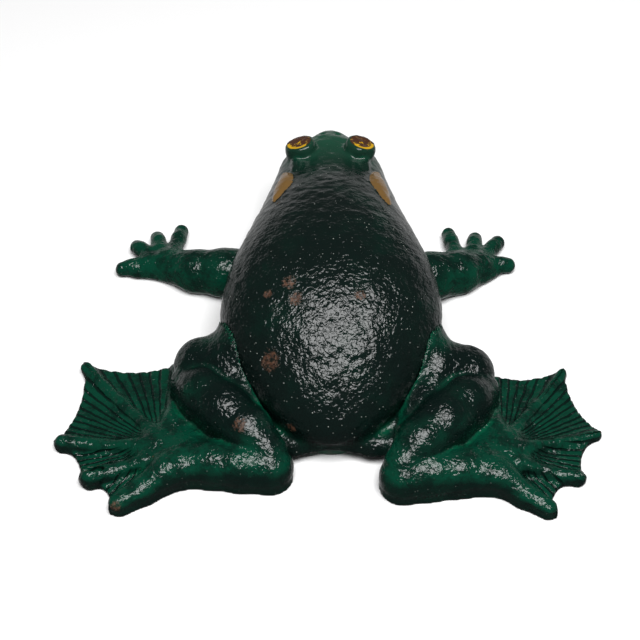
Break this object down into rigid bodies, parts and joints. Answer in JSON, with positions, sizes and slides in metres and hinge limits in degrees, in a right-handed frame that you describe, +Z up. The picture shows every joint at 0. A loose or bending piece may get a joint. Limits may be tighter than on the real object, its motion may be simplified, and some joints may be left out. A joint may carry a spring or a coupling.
{
  "type": "frog doorstop",
  "caption": "Painted cast-iron frog doorstop, body shell with belly plate, screwed-on webbed hind legs and forelegs, in dark green worn enamel.",
  "frame": {"origin": "centre of the footprint's bounding box, on the surface that the frog rests on", "axes": "+X to the frog's left, -Y the way the frog looks, +Z up"},
  "size_m": [0.2846, 0.2539, 0.0744],
  "materials": {
    "body_paint": "dark green gloss enamel, worn, with speckled chips and rust",
    "limb_paint": "green gloss enamel over rough casting",
    "plate_paint": "green enamel, thin and rubbed underneath",
    "screw_steel": "dull zinc-plated steel"
  },
  "bodies": {
    "root": {"body_shell": "body_paint", "belly_plate": "plate_paint", "hind_leg_left": "limb_paint", "hind_leg_right": "limb_paint", "foreleg_left": "limb_paint", "foreleg_right": "limb_paint", "foreleg_screw_left": "screw_steel", "foreleg_screw_right": "screw_steel", "hind_leg_screw_left_1": "screw_steel", "hind_leg_screw_left_2": "screw_steel", "hind_leg_screw_right_1": "screw_steel", "hind_leg_screw_right_2": "screw_steel", "shell_screw_left_1": "screw_steel", "shell_screw_left_2": "screw_steel", "shell_screw_right_1": "screw_steel", "shell_screw_right_2": "screw_steel"}
  },
  "joints": []
}
